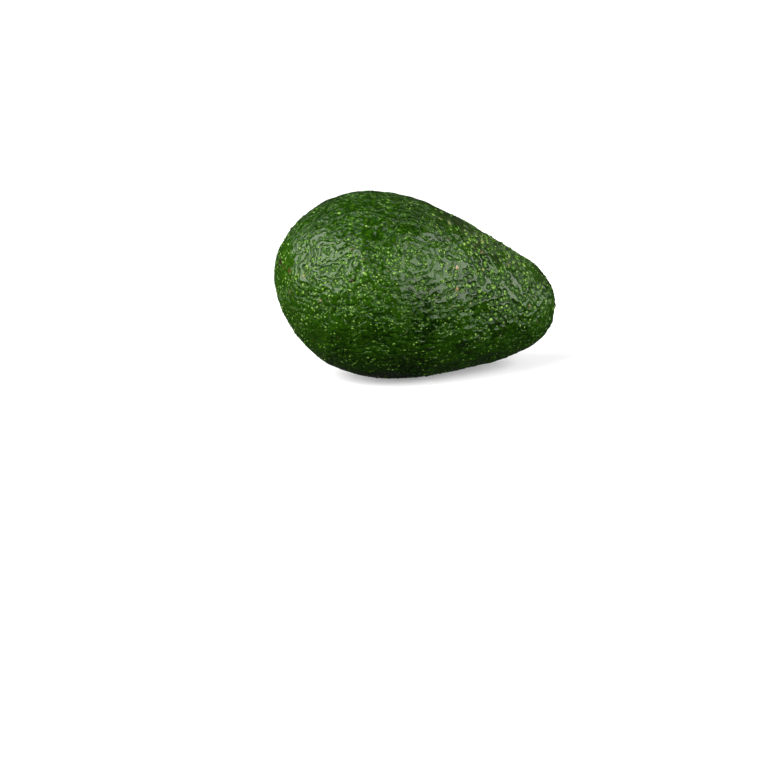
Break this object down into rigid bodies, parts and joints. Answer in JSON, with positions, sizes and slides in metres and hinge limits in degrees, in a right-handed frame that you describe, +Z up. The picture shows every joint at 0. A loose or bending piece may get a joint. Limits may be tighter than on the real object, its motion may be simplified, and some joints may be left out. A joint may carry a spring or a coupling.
{
  "type": "avocado",
  "caption": "Whole pear-shaped avocado lying on its side: pebbled dark green skin, and a round corky stem button set in a shallow hollow at the narrow end.",
  "frame": {"origin": "middle of the small flat spot that the fruit rests on", "axes": "+Z up; +X level, towards the stem end, which lies lower than the blunt end; the fruit's long axis is in the XZ plane"},
  "size_m": [0.1068, 0.0699, 0.069],
  "materials": {
    "skin": "glossy, pebbled",
    "stem": "matte, corky"
  },
  "bodies": {
    "root": {"fruit": "skin", "stem_button": "stem"}
  },
  "joints": []
}
